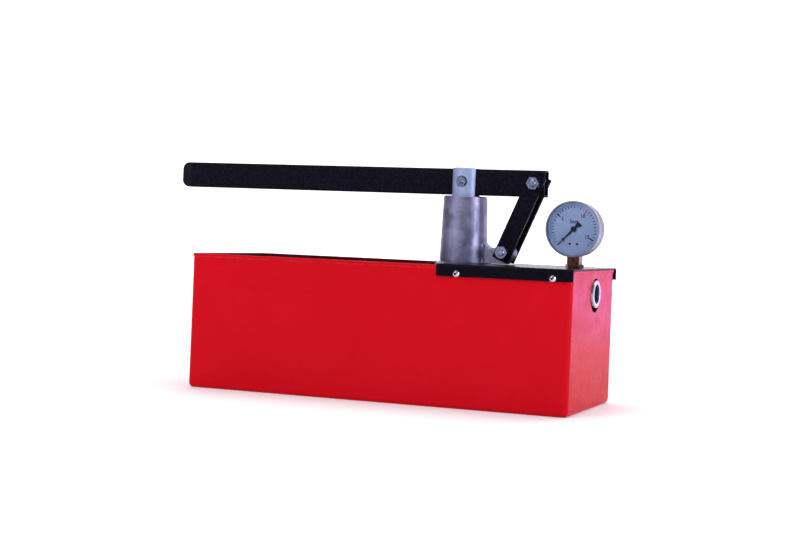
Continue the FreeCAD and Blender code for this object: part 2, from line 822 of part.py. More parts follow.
def make_release_knob():
    start = knob_start()
    centre = (release_y, outlet_z)
    knob = rod(knob_d, (start, *centre), -X, knob_length)
    knob = knob.makeChamfer(knob_edge, [e for e in knob.Edges
                                        if at(e, x=start) or at(e, x=start - knob_length)])
    for index in range(knob_flutes):
        angle = 2 * math.pi * index / knob_flutes
        reach = knob_d / 2 + knob_flute_d / 6
        place = (start + 1, release_y + reach * math.cos(angle), outlet_z + reach * math.sin(angle))
        knob = knob.cut(rod(knob_flute_d, place, -X, knob_length + 2))
    return knob.cut(rod(spindle_d + 2 * running_gap, (start + 1, *centre), -X,
                        knob_length - knob_end_wall + 1 + running_gap))


# --- lever and links ---------------------------------------------------------
def handle_left():
    return upper_x + handle_past_pivot - handle_length


def make_handle():
    left = handle_left() + handle_cap_length
    right = upper_x + handle_past_pivot
    half_w, half_h = handle_width / 2, handle_height / 2
    tube = box(left, right, pump_y - half_w, pump_y + half_w, pin_z - half_h, pin_z + half_h)
    tube = fillet(tube, handle_edge, lambda e: along(e, X))
    half_w, half_h = half_w - handle_wall, half_h - handle_wall
    hollow = box(left - 1, right + 1, pump_y - half_w, pump_y + half_w,
                 pin_z - half_h, pin_z + half_h)
    tube = tube.cut(fillet(hollow, handle_inner_round, lambda e: along(e, X)))
    tube = tube.cut(rod(sleeve_d, (upper_x, pump_y - handle_width, pin_z), Y, 2 * handle_width))
    return tube.cut(pin_slot())


def pin_slot():
    """Long hole in the lever's walls, inside the plunger's fork, that takes up the links' swing."""
    radius = pin_slot_height / 2
    straight = pin_slot_length / 2 - radius
    ends = [rod(pin_slot_height, (column_x + side * straight, pump_y - handle_width, pin_z), Y,
                2 * handle_width) for side in (-1, 1)]
    middle = box(column_x - straight, column_x + straight, pump_y - handle_width,
                 pump_y + handle_width, pin_z - radius, pin_z + radius)
    return ends[0].fuse([ends[1], middle])


def make_handle_cap():
    left = handle_left()
    seam = left + handle_cap_length
    half_w, half_h = handle_width / 2, handle_height / 2
    cap = box(left, seam, pump_y - half_w, pump_y + half_w, pin_z - half_h, pin_z + half_h)
    cap = fillet(cap, handle_cap_round, lambda e: along(e, Y) and at(e, x=left))
    cap = fillet(cap, handle_edge, lambda e: (at(e, y=pump_y - half_w) or at(e, y=pump_y + half_w))
                 and not at(e, x=seam))
    half_w, half_h = half_w - handle_wall, half_h - handle_wall
    plug = box(seam - 1, seam + handle_plug_length, pump_y - half_w, pump_y + half_w,
               pin_z - half_h, pin_z + half_h)
    plug = fillet(plug, handle_inner_round, lambda e: along(e, X))
    return cap.fuse(plug)


def make_handle_sleeve():
    return ring(sleeve_d, pivot_bolt_d + 2 * pivot_bolt_gap,
                (upper_x, pump_y - handle_width / 2, pin_z), Y, handle_width)


def link_plate(y0):
    """A flat bar between the two pivots, square at both ends."""
    length = math.hypot(link_lean, link_rise)
    plate = box(-link_width / 2, link_width / 2, y0, y0 + link_thickness,
                -link_overhang, length + link_overhang)
    plate = fillet(plate, link_corner, lambda e: along(e, Y))
    for z in (0, length):
        plate = plate.cut(rod(pivot_bolt_d, (0, y0 - 1, z), Y, link_thickness + 2))
    lean = math.degrees(math.atan2(link_lean, link_rise))
    plate.Placement = FreeCAD.Placement(V(lower_x, 0, lower_z), FreeCAD.Rotation(Y, lean))
    return plate


def make_link_front():
    return link_plate(pump_y - link_outer)


def make_link_rear():
    return link_plate(pump_y + link_inner)


def make_pivot_bolt(x, z):
    """Hexagon bolt along Y: head at the rear, threaded end at the front."""
    head_y = pump_y + link_outer + pivot_washer_thickness
    front = link_outer + pivot_washer_thickness + pivot_nut_height + pivot_bolt_past_nut
    shank = rod(pivot_bolt_d, (x, head_y, z), -Y, head_y - pump_y + front)
    end_y = pump_y - front
    shank = shank.makeChamfer(pivot_bolt_edge, [e for e in shank.Edges if at(e, y=end_y)])
    return shank.fuse(hexagon(pivot_flats, (x, head_y, z), Y, pivot_head_height))


def make_pivot_nut(x, z):
    start = pump_y - link_outer - pivot_washer_thickness
    nut = hexagon(pivot_flats, (x, start, z), -Y, pivot_nut_height)
    return nut.cut(rod(pivot_bolt_d, (x, start + 1, z), -Y, pivot_nut_height + 2))


def make_pivot_washers():
    washers = []
    for x, z in ((upper_x, pin_z), (lower_x, lower_z)):
        for y in (pump_y - link_outer - pivot_washer_thickness, pump_y + link_outer):
            washers.append(ring(pivot_washer_d, pivot_bolt_d, (x, y, z), Y,
                                pivot_washer_thickness))
    return Part.makeCompound(washers)


def make_plunger_bolt():
    head_y = pump_y + pin_flat_from_axis
    front = pin_flat_from_axis + pin_nut_height + pin_bolt_past_nut
    shank = rod(pin_bolt_d, (column_x, head_y, pin_z), -Y, head_y - pump_y + front)
    shank = shank.makeChamfer(pin_bolt_edge, [e for e in shank.Edges if at(e, y=pump_y - front)])
    return shank.fuse(hexagon(pin_flats, (column_x, head_y, pin_z), Y, pin_head_height))


def make_plunger_nut():
    start = pump_y - pin_flat_from_axis
    nut = hexagon(pin_flats, (column_x, start, pin_z), -Y, pin_nut_height)
    return nut.cut(rod(pin_bolt_d, (column_x, start + 1, pin_z), -Y, pin_nut_height + 2))


# --- gauge -------------------------------------------------------------------
def gauge_disc(diameter, y, thickness):
    return rod(diameter, (gauge_x, y, gauge_z), Y, thickness)


def make_gauge_case():
    start = gauge_front + bezel_depth - bezel_lap
    outside = gauge_d - 2 * gauge_case_step
    case = gauge_disc(outside, start, gauge_back - start)
    case = fillet(case, gauge_case_round, lambda e: at(e, y=gauge_back))
    case = case.cut(gauge_disc(outside - 2 * gauge_case_wall, start - 1,
                               gauge_back - start + 1 - gauge_case_wall))
    bottom = gauge_z - gauge_d
    side = stem_flats / 2
    hole = box(gauge_x - side, gauge_x + side, pump_y - side, pump_y + side, bottom,
               gauge_z - bourdon_radius + stem_case_lap)
    return case.cut(hole)


def make_gauge_bezel():
    body = gauge_disc(gauge_d, gauge_front, bezel_depth)
    body = fillet(body, bezel_edge, lambda e: at(e, y=gauge_front))
    opening = gauge_d - 2 * bezel_face
    seat = gauge_d - 2 * gauge_case_step
    body = body.cut(gauge_disc(opening, gauge_front - 1, bezel_depth + 2))
    return body.cut(gauge_disc(seat, gauge_front + window_inset, bezel_depth))


def make_gauge_window():
    seat = gauge_d - 2 * gauge_case_step - gauge_fit_gap
    return gauge_disc(seat, gauge_front + window_inset, window_thickness)


def make_gauge_spacer():
    """Plain ring between the window and the dial."""
    start = gauge_front + window_inset + window_thickness
    seat = gauge_d - 2 * gauge_case_step - 2 * gauge_case_wall - gauge_fit_gap
    return gauge_disc(seat, start, dial_y - start).cut(
        gauge_disc(seat - 2 * spacer_wall, start - 1, dial_y - start + 2))


def make_gauge_dial():
    dial = gauge_disc(dial_d, dial_y, dial_thickness)
    dial = dial.cut(gauge_disc(dial_hole, dial_y - 1, dial_thickness + 2))
    angle = math.radians(pointer_zero_deg)
    normal = (math.cos(angle), math.sin(angle))
    reach = pointer_reach * stop_pin_share
    # The stop stands below the pointer's zero line: the pointer leaves it clockwise.
    offset = pointer_width / 4 + stop_pin_d / 2 + stop_pin_gap
    x = gauge_x + reach * normal[0] - offset * normal[1]
    z = gauge_z + reach * normal[1] + offset * normal[0]
    return dial.fuse(rod(stop_pin_d, (x, dial_y - stop_pin_height, z), Y,
                         stop_pin_height + dial_thickness / 2))


def make_dial_screws():
    screws = []
    for side in (-1, 1):
        place = (gauge_x + side * dial_screw_spread, dial_y, gauge_z - dial_screw_drop)
        screws.append(cone(dial_screw_d, dial_screw_d * 0.7, place, -Y, dial_screw_height))
    return Part.makeCompound(screws)


def make_gauge_pointer():
    """Drawn along +X, then turned to the zero mark. Its arbor runs in the movement."""
    half = pointer_width / 2
    tail = pointer_tail_width / 2
    tip, waist = pointer_tip_width / 2, (-pointer_waist, half * 0.8)
    outline = [(pointer_reach, -tip), (pointer_reach, tip), (0, half), waist,
               (-pointer_tail, tail), (-pointer_tail, -tail), (waist[0], -waist[1]), (0, -half)]
    blade = extrude_xz(outline, 0, pointer_thickness)
    hub = rod(pointer_hub_d, (0, -pointer_hub_height / 2, 0), Y, pointer_hub_height)
    arbor_end = sector_y + pinion_length - pointer_y
    arbor = rod(pointer_shaft_d, (0, 0, 0), Y, arbor_end)
    pinion = rod(pinion_d, (0, sector_y - pinion_overlap - pointer_y, 0), Y,
                 pinion_length - pinion_overlap)
    whole = blade.fuse([hub, arbor, pinion]).removeSplitter()
    whole.Placement = FreeCAD.Placement(V(gauge_x, pointer_y, gauge_z),
                                        FreeCAD.Rotation(Y, -pointer_zero_deg))
    return whole


def make_gauge_stem():
    """Brass: thread in the riser, spanner square, and the head that holds the works."""
    base = cover_top + locknut_gap_over_cover + locknut_height
    side = stem_flats / 2
    square = box(gauge_x - side, gauge_x + side, pump_y - side, pump_y + side,
                 base, gauge_z - bourdon_radius + stem_head_seat)
    head = box(gauge_x - stem_head / 2, gauge_x + stem_head / 2, movement_rear(),
               movement_rear() + stem_head_depth, gauge_z - bourdon_radius, gauge_z - stem_head_drop)
    tip = riser_top - stem_engagement
    thread = rod(stem_thread_d, (gauge_x, pump_y, tip), Z, base - tip + 1)
    body = square.fuse([head, thread])
    body = body.cut(rod(stem_hole, (gauge_x, pump_y, 0), Z, gauge_z - bourdon_radius - 1))
    return body.removeSplitter().cut(make_bourdon_tube())


def movement_rear():
    return movement_y + 2 * movement_plate + movement_gap


def make_stem_locknut():
    base = cover_top + locknut_gap_over_cover
    nut = hexagon(locknut_flats, (gauge_x, pump_y, base), Z, locknut_height)
    return nut.cut(rod(stem_thread_d, (gauge_x, pump_y, base - 1), Z, locknut_height + 2))


def make_gauge_movement():
    """Two brass plates on pillars; the pointer's arbor and the sector run between them."""
    half = movement_width / 2
    low = gauge_z - movement_drop
    high = low + movement_height
    parts = []
    for y in (movement_y, movement_y + movement_plate + movement_gap):
        plate = box(gauge_x - half, gauge_x + half, y, y + movement_plate, low, high)
        parts.append(fillet(plate, movement_corner, lambda e: along(e, Y)))
    for sx in (-1, 1):
        x = gauge_x + sx * (half - movement_pillar_inset)
        for z in (low + movement_pillar_inset, high - movement_pillar_inset):
            parts.append(rod(movement_pillar_d, (x, movement_y, z), Y,
                             movement_gap + 2 * movement_plate))
    body = parts[0].fuse(parts[1:])
    body = body.cut(gauge_disc(pointer_shaft_d + movement_play, movement_y - 1, gauge_depth))
    return body.cut(rod(sector_arbor_d + movement_play, (gauge_x, movement_y - 1, sector_z), Y,
                        gauge_depth))


def make_gauge_sector():
    radius = sector_centre_drop - pinion_d / 2 - sector_mesh_gap
    spread = math.radians(sector_half_angle)
    left = V(gauge_x - radius * math.sin(spread), sector_y, sector_z + radius * math.cos(spread))
    right = V(gauge_x + radius * math.sin(spread), sector_y, sector_z + radius * math.cos(spread))
    top = V(gauge_x, sector_y, sector_z + radius)
    foot = V(gauge_x, sector_y, sector_z - sector_foot)
    edges = [Part.Arc(left, top, right).toShape(), Part.makeLine(right, foot),
             Part.makeLine(foot, left)]
    plate = Part.Face(Part.Wire(edges)).extrude(V(0, sector_thickness, 0))
    arbor = rod(sector_arbor_d, (gauge_x, movement_y + movement_play, sector_z), Y,
                movement_gap + 2 * (movement_plate - movement_play))
    hub = rod(sector_hub_d, (gauge_x, sector_y, sector_z), Y, sector_thickness)
    whole = plate.fuse([hub, arbor])
    whole.rotate(V(gauge_x, sector_y, sector_z), Y, sector_rest_angle)
    return whole


def make_bourdon_tube():
    """The curved pressure tube round the movement, fixed in the stem's head."""
    centre_y = movement_y + bourdon_from_movement
    start = V(gauge_x, centre_y, gauge_z - bourdon_radius)
    ellipse = Part.Ellipse(V(0, 0, 0), bourdon_section_y / 2, bourdon_section_r / 2)
    section = Part.Wire(ellipse.toShape())
    section.Placement = FreeCAD.Placement(start, FreeCAD.Rotation(V(0, 1, 0), V(0, 0, 1), X,
                                                                   "XYZ"))
    face = Part.Face(section)
    tube = face.revolve(V(gauge_x, centre_y, gauge_z), Y, bourdon_sweep)
    return tube


makers = {
    "tank": make_tank,
    "cover": make_cover,
    "cover_screws": make_cover_screws,
    "cover_nuts": make_cover_nuts,
    "column": make_column,
    "pump_barrel": make_barrel,
    "delivery_arm": make_delivery_arm,
    "floor_studs": make_floor_studs,
    "foot_washers": make_foot_washers,
    "foot_nuts": make_foot_nuts,
    "plunger": make_plunger,
    "gland_ring": make_gland_ring,
    "guide_bush": make_guide_bush,
    "plunger_seal": make_plunger_seal,
    "suction_valve_body": make_suction_body,
    "suction_ball": make_suction_ball,
    "ball_stop_pin": make_ball_stop,
    "suction_strainer": make_strainer,
    "delivery_seat": make_delivery_seat,
    "delivery_ball": make_delivery_ball,
    "delivery_spring": make_delivery_spring,
    "spring_retainer": make_spring_retainer,
    "outlet_fitting": make_outlet_fitting,
    "release_gland": make_release_gland,
    "release_oring": make_release_oring,
    "release_spindle": make_release_spindle,
    "release_knob": make_release_knob,
    "handle_tube": make_handle,
    "handle_cap": make_handle_cap,
    "handle_sleeve": make_handle_sleeve,
    "link_front": make_link_front,
    "link_rear": make_link_rear,
    "upper_pivot_bolt": lambda: make_pivot_bolt(upper_x, pin_z),
    "lower_pivot_bolt": lambda: make_pivot_bolt(lower_x, lower_z),
    "upper_pivot_nut": lambda: make_pivot_nut(upper_x, pin_z),
    "lower_pivot_nut": lambda: make_pivot_nut(lower_x, lower_z),
    "pivot_washers": make_pivot_washers,
    "plunger_bolt": make_plunger_bolt,
    "plunger_nut": make_plunger_nut,
    "gauge_case": make_gauge_case,
    "gauge_bezel": make_gauge_bezel,
    "gauge_window": make_gauge_window,
    "gauge_spacer": make_gauge_spacer,
    "gauge_dial": make_gauge_dial,
    "dial_screws": make_dial_screws,
    "gauge_pointer": make_gauge_pointer,
    "gauge_stem": make_gauge_stem,
    "stem_locknut": make_stem_locknut,
    "gauge_movement": make_gauge_movement,
    "gauge_sector": make_gauge_sector,
    "bourdon_tube": make_bourdon_tube,
}

os.makedirs("parts", exist_ok=True)
for name, make in makers.items():
    shape = make()
    shape.exportStep(f"parts/{name}.step")
    print(f"{name}: {len(shape.Solids)} solid(s), {shape.Volume / 1000:.2f} cm3, "
          f"valid {shape.isValid()}")
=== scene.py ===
# %% [markdown]
# # A hand pump for pressure tests
#
# The pump is an open red sheet tank with a cast pump standing in it, a black
# lever on two links, a cover plate over one end, a dial gauge and a threaded
# outlet. The sizes and the moving parts come from a CAD model. This lesson
# gives that model its camera, light and finishes, and models the small things
# that a CAD drawing leaves plain: the gauge's printing, and the threads of the
# outlet, the bolts and the studs.

import json
import math

import bmesh
import bpy
from mathutils import Matrix, Vector


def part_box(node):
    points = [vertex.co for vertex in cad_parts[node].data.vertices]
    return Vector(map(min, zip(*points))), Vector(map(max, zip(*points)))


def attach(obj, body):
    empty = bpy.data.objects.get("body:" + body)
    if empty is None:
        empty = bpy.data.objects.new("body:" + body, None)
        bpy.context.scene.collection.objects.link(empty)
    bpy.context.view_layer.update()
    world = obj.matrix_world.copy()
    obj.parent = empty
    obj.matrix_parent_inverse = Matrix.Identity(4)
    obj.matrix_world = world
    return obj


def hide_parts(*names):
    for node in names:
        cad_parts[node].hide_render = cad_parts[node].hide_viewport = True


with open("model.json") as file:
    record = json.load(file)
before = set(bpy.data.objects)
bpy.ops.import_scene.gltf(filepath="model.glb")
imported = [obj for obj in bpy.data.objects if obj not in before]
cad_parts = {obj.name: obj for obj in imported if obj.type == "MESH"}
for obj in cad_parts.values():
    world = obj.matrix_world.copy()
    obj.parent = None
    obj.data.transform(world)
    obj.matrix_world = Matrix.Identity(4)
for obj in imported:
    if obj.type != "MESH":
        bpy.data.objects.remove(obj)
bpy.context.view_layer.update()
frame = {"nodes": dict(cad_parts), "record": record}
MM = 0.001

# %% [markdown]
# The pieces are placed by asking the CAD model where it put its own parts, so
# nothing is fitted by eye. The tank's far corner places the painted shade of
# its inside, and the middles of the gauge and the outlet place their details.

# %% Where things are
def middle(node):
    """The centre of a CAD part's box."""
    low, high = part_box(node)
    return (Vector(low) + Vector(high)) / 2


tank_high = Vector(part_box("tank")[1])
dial_low, dial_high = (Vector(corner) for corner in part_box("gauge_bezel"))
dial_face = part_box("dial_screws")[1][1]
outlet_middle = middle("outlet_fitting")
gauge_middle = middle("gauge_bezel")
gauge_radius = (dial_high.x - dial_low.x) / 2
print("gauge radius", round(gauge_radius / MM, 2), "mm, dial face at y", round(dial_face / MM, 2))

# %% [markdown]
# ## Camera, floor and light
#
# The view is well off with a fairly long lens, as product views are, so that
# parallel edges stay nearly parallel. The camera stands to the right of the
# pump, level, a little above the tank's rim, and leans a little to one side.
# Its frame is slid sideways and down with the lens shift: sliding it down
# keeps upright edges parallel, where tilting the camera would not.

# %% Camera
CAMERA_PLACE = Vector((0.6484, -1.5157, 0.1900))
CAMERA_HEADING = math.radians(19.33)
CAMERA_LEAN = math.radians(2.3)

camera = bpy.data.objects.new("camera", bpy.data.cameras.new("camera"))
bpy.context.scene.collection.objects.link(camera)
camera.data.sensor_width = 36.0
camera.data.lens = 63.81
camera.data.shift_x = -0.125
camera.data.shift_y = -0.0565
camera.data.clip_end = 50.0
level = Vector((math.cos(CAMERA_HEADING), math.sin(CAMERA_HEADING), 0))
up = Vector((0, 0, 1))
right = level * math.cos(CAMERA_LEAN) + up * math.sin(CAMERA_LEAN)
above = up * math.cos(CAMERA_LEAN) - level * math.sin(CAMERA_LEAN)
back = right.cross(above)
camera.matrix_world = Matrix((
    (right.x, above.x, back.x, CAMERA_PLACE.x),
    (right.y, above.y, back.y, CAMERA_PLACE.y),
    (right.z, above.z, back.z, CAMERA_PLACE.z),
    (0, 0, 0, 1)))
bpy.context.scene.camera = camera
print("camera", [round(v, 3) for v in CAMERA_PLACE], "lens", camera.data.lens, "mm")

# %% [markdown]
# The floor is one pale sheet that runs back and then sweeps up into a wall, as
# studio paper does, so no line shows between them. It is a grid whose rear
# edge is pulled up, with the fold bevelled round. Paper far from the lamps
# would turn grey, so it glows a little more with distance. Past its edges the
# sky is seen white, so that a view from any side has the same plain
# surroundings.

# %% Floor that sweeps up behind
def new_piece(name, mesh_builder):
    """Turns a bmesh into an object that sits at the origin."""
    data = bpy.data.meshes.new(name)
    mesh_builder.to_mesh(data)
    mesh_builder.free()
    piece = bpy.data.objects.new(name, data)
    bpy.context.scene.collection.objects.link(piece)
    return piece


FLOOR_REACH, WALL_PLACE, WALL_HEIGHT, SWEEP = 7.0, 5.0, 6.0, 1.5
NEAR = 0.1
sheet = bmesh.new()
bmesh.ops.create_grid(sheet, x_segments=1, y_segments=1, size=FLOOR_REACH)
rear = [edge for edge in sheet.edges if all(v.co.y > FLOOR_REACH - NEAR for v in edge.verts)]
wall = bmesh.ops.extrude_edge_only(sheet, edges=rear)
raised = [v for v in wall["geom"] if isinstance(v, bmesh.types.BMVert)]
bmesh.ops.translate(sheet, vec=(0, 0, WALL_HEIGHT), verts=raised)
behind = [v for v in sheet.verts if v.co.y > FLOOR_REACH - NEAR]
bmesh.ops.translate(sheet, vec=(0, WALL_PLACE - FLOOR_REACH, 0), verts=behind)
fold = [edge for edge in sheet.edges
        if all(v.co.y > WALL_PLACE - NEAR and abs(v.co.z) < NEAR for v in edge.verts)]
bmesh.ops.bevel(
    sheet, geom=fold, offset=SWEEP, offset_type="OFFSET", affect="EDGES",
    segments=12, profile=0.5, material=-1)
bmesh.ops.recalc_face_normals(sheet, faces=sheet.faces)
floor = new_piece("floor", sheet)
print("floor and wall:", len(floor.data.polygons), "faces")

# %% Paper and sky
paper = bpy.data.materials.new("studio_paper")
paper.use_nodes = True
sheet_shader = paper.node_tree.nodes["Principled BSDF"]
sheet_shader.inputs["Base Color"].default_value = (0.90, 0.90, 0.91, 1)
sheet_shader.inputs["Roughness"].default_value = 0.9
sheet_shader.inputs["Specular IOR Level"].default_value = 0.1
sheet_shader.inputs["Emission Color"].default_value = (0.98, 0.97, 1.0, 1)
spot = paper.node_tree.nodes.new("ShaderNodeTexCoord")
far = paper.node_tree.nodes.new("ShaderNodeVectorMath")
far.operation = "LENGTH"
glow = paper.node_tree.nodes.new("ShaderNodeMapRange")
for name, value in (("From Min", 0.3), ("From Max", 2.2), ("To Min", 0.12), ("To Max", 0.85)):
    glow.inputs[name].default_value = value
paper.node_tree.links.new(spot.outputs["Object"], far.inputs[0])
paper.node_tree.links.new(far.outputs["Value"], glow.inputs["Value"])
paper.node_tree.links.new(glow.outputs[0], sheet_shader.inputs["Emission Strength"])
floor.data.materials.append(paper)

sky = bpy.data.worlds.new("studio")
bpy.context.scene.world = sky
sky.use_nodes = True
SKY_STRENGTH = 0.30
lighting = sky.node_tree.nodes["Background"]
lighting.inputs["Color"].default_value = (0.93, 0.93, 1.0, 1)
lighting.inputs["Strength"].default_value = SKY_STRENGTH
seen = sky.node_tree.nodes.new("ShaderNodeBackground")
seen.inputs["Color"].default_value = (1, 1, 1, 1)
rays = sky.node_tree.nodes.new("ShaderNodeLightPath")
choice = sky.node_tree.nodes.new("ShaderNodeMixShader")
sky.node_tree.links.new(rays.outputs["Is Camera Ray"], choice.inputs[0])
sky.node_tree.links.new(lighting.outputs[0], choice.inputs[1])
sky.node_tree.links.new(seen.outputs[0], choice.inputs[2])
sky.node_tree.links.new(choice.outputs[0], sky.node_tree.nodes["World Output"].inputs["Surface"])
bpy.context.scene.view_settings.view_transform = "Standard"
print("sky strength", SKY_STRENGTH)

# %% [markdown]
# Three large soft lamps do the work. One stands to the right and puts a band
# of light down the column. One is above and behind, and brings out the cover's
# gloss and the top edges. The third, on the camera's left, lights the long
# front. A weak violet one stands behind on the right, where the outlet end
# mirrors it: paint seen at a glancing angle takes on the colour behind it.
# The sky itself is dim, because a glossy front mirrors what is behind the
# camera: a bright sky there would wash the red out. Large lamps give soft
# shadows, because each point of the floor still sees part of the lamp.

# %% Lamps
def soft_lamp(name, place, aim, width, height, watts, tint=(1, 1, 1)):
    """A rectangular lamp at a place, turned towards its aim; its sizes are in metres."""
    lamp = bpy.data.objects.new(name, bpy.data.lights.new(name, "AREA"))
    lamp.data.shape = "RECTANGLE"
    lamp.data.size, lamp.data.size_y = width, height
    lamp.data.energy = watts
    lamp.data.color = tint
    lamp.location = place
    lamp.rotation_euler = (Vector(aim) - Vector(place)).to_track_quat("-Z", "Y").to_euler()
    bpy.context.scene.collection.objects.link(lamp)
    return lamp


soft_lamp("lamp_right", (2.0, -0.35, 0.65), (0.1, 0, 0.12), 0.7, 1.3, 20, (0.92, 0.92, 1.0))
soft_lamp("lamp_above", (0.0, 0.6, 2.1), (0.05, 0, 0.15), 2.0, 1.2, 26)
soft_lamp("lamp_front", (-1.1, -2.2, 1.5), (0, 0, 0.10), 1.6, 1.2, 42)
violet = soft_lamp("lamp_violet", (0.70, 1.30, 0.05), (0.23, 0, 0.05), 0.9, 0.16, 1.3, (0.30, 0.16, 1.0))
violet.visible_camera = False

# %% [markdown]
# ## Finishes
#
# Each finish is a small node tree on Blender's Principled shader. Its
# patterns hang on Object coordinates, which are metres here, so a noise scale
# of 500 makes spots about 2 mm across. The helpers below each add one step:
# cloudy noise, a change of range, a sum on numbers or on vectors, a mix of two
# colours, a relief, and a mask that is bright along edges.

# %% Helpers for node trees
class Finish:
    """A new material whose patterns hang on Object coordinates."""

    def __init__(self, name, colour, metal=0.0, rough=0.5, specular=0.5, coat=0.0):
        self.material = bpy.data.materials.new(name)
        self.material.use_nodes = True
        self.tree = self.material.node_tree
        self.shader = self.tree.nodes["Principled BSDF"]
        self.set("Base Color", (*colour, 1))
        self.set("Metallic", metal)
        self.set("Roughness", rough)
        self.set("Specular IOR Level", specular)
        self.set("Coat Weight", coat)
        self.place = self.tree.nodes.new("ShaderNodeTexCoord").outputs["Object"]

    def set(self, socket, value):
        self.shader.inputs[socket].default_value = value

    def link(self, source, socket):
        self.tree.links.new(source, self.shader.inputs[socket])

    def add(self, kind, **links):
        """Adds a node; a keyword is an input's name with _ for a space, and a value or a socket."""
        node = self.tree.nodes.new(kind)
        for name, value in links.items():
            socket = node.inputs[name.replace("_", " ")]
            if isinstance(value, bpy.types.NodeSocket):
                self.tree.links.new(value, socket)
            else:
                socket.default_value = value
        return node


def clouds(finish, scale, detail=3.0, stretch=(1, 1, 1), harsh=0.5):
    """Soft noise from 0 to 1; stretch squeezes it along an axis."""
    spread = finish.add("ShaderNodeMapping", Vector=finish.place, Scale=stretch)
    noise = finish.add(
        "ShaderNodeTexNoise", Vector=spread.outputs[0], Scale=scale, Detail=detail, Roughness=harsh)
    return noise.outputs[0]


def remap(finish, value, low, high, start=0.0, end=1.0):
    """Stretches the part of a value between low and high to start and end."""
    node = finish.add(
        "ShaderNodeMapRange", Value=value, From_Min=low, From_Max=high, To_Min=start, To_Max=end)
    return node.outputs[0]


def calc(finish, operation, a, b=0.0):
    """One sum on numbers or sockets."""
    node = finish.tree.nodes.new("ShaderNodeMath")
    node.operation = operation
    for socket, value in zip(node.inputs, (a, b)):
        if isinstance(value, bpy.types.NodeSocket):
            finish.tree.links.new(value, socket)
        else:
            socket.default_value = value
    return node.outputs[0]


def vector_step(finish, operation, first, second=None):
    """One sum on a vector socket; a length comes out as a number."""
    node = finish.tree.nodes.new("ShaderNodeVectorMath")
    node.operation = operation
    finish.tree.links.new(first, node.inputs[0])
    if second is not None:
        node.inputs[1].default_value = second
    return node.outputs["Value" if operation == "LENGTH" else "Vector"]


def mixed(finish, amount, first, second):
    """Two colours mixed by an amount from 0 to 1."""
    node = finish.tree.nodes.new("ShaderNodeMix")
    node.data_type = "RGBA"
    for index, value in ((0, amount), (6, first), (7, second)):
        if isinstance(value, bpy.types.NodeSocket):
            finish.tree.links.new(value, node.inputs[index])
        else:
            node.inputs[index].default_value = value if index == 0 else (*value, 1)
    return node.outputs[2]


def relief(finish, height, depth, strength=1.0):
    """A bump of the given depth in metres, on top of any bump already there."""
    node = finish.add("ShaderNodeBump", Height=height, Distance=depth, Strength=strength)
    socket = finish.shader.inputs["Normal"]
    if socket.is_linked:
        finish.tree.links.new(socket.links[0].from_socket, node.inputs["Normal"])
    finish.link(node.outputs[0], "Normal")
    return node


def edges(finish, radius, start=0.02, end=0.2):
    """Bright where the surface turns sharply within the radius."""
    rounded = finish.tree.nodes.new("ShaderNodeBevel")
    rounded.samples = 4
    rounded.inputs["Radius"].default_value = radius
    flat = finish.tree.nodes.new("ShaderNodeNewGeometry")
    dot = finish.tree.nodes.new("ShaderNodeVectorMath")
    dot.operation = "DOT_PRODUCT"
    finish.tree.links.new(rounded.outputs[0], dot.inputs[0])
    finish.tree.links.new(flat.outputs["Normal"], dot.inputs[1])
    turn = calc(finish, "SUBTRACT", 1.0, dot.outputs["Value"])
    return remap(finish, turn, start, end)


finishes = {}
print("node helpers ready")

# %% [markdown]
# ### Red paint
#
# Folded steel sheet, stoved in glossy red enamel. Sharp folds are painted a
# lighter pink in patches, as a painted highlight, and the enamel dries with a
# faint orange peel about a millimetre across. The inside is painted a much
# darker, duller red, as painted shade, and water has left it cloudy. Inside
# and outside are told apart by place: the box has round corners, so a point is
# inside when its distance past the flat walls is less than the corner's radius
# less half the sheet. The folds at the floor are 1 mm tighter, which that half
# sheet allows for. The walls stand back from the tank's box by the hem.

# %% Red paint
SHEET, CORNER, HEM = 1.2 * MM, 6.0 * MM, 1.0 * MM
flat_end = Vector((tank_high.x - HEM - CORNER, tank_high.y - HEM - CORNER, -CORNER))
red = Finish("red_enamel", (0.52, 0.002, 0.009), rough=0.3, specular=0.04)
folded = vector_step(red, "MULTIPLY", vector_step(red, "ABSOLUTE", red.place), (1, 1, -1))
past_flat = vector_step(red, "SUBTRACT", folded, flat_end)
from_fold = vector_step(red, "LENGTH", vector_step(red, "MAXIMUM", past_flat, (0, 0, 0)))
inside = calc(red, "LESS_THAN", from_fold, CORNER - SHEET / 2)
drift = clouds(red, 9, 4.0)
coat_colour = mixed(red, remap(red, drift, 0.3, 0.7), (0.505, 0.0018, 0.0080), (0.540, 0.0026, 0.0105))
# Lighter pink along sharp folds, in patches: a painted highlight.
edge_highlight = calc(red, "MULTIPLY", edges(red, 0.0012), remap(red, clouds(red, 160, 3.0), 0.35, 0.6))
coat_colour = mixed(red, calc(red, "MULTIPLY", edge_highlight, 0.7), coat_colour, (0.80, 0.13, 0.20))
# The inside's dark red, in cloudy patches, is painted shade.
limescale = remap(red, clouds(red, 28, 6.0, stretch=(1, 1, 0.4)), 0.42, 0.75)
inside_shade = mixed(red, limescale, (0.070, 0.0016, 0.0045), (0.14, 0.010, 0.014))
red.link(mixed(red, inside, coat_colour, inside_shade), "Base Color")
gloss = remap(red, clouds(red, 45, 5.0), 0.3, 0.75, 0.24, 0.38)
red.link(calc(red, "ADD", gloss, calc(red, "MULTIPLY", inside, 0.3)), "Roughness")
relief(red, clouds(red, 700, 2.0), 0.00004, 0.5)
relief(red, clouds(red, 6, 1.0), 0.0010, 0.08)
finishes["red_paint"] = red.material
print("red enamel:", len(red.tree.nodes), "nodes; walls are flat up to y",
      round(flat_end.y / MM, 2), "mm")
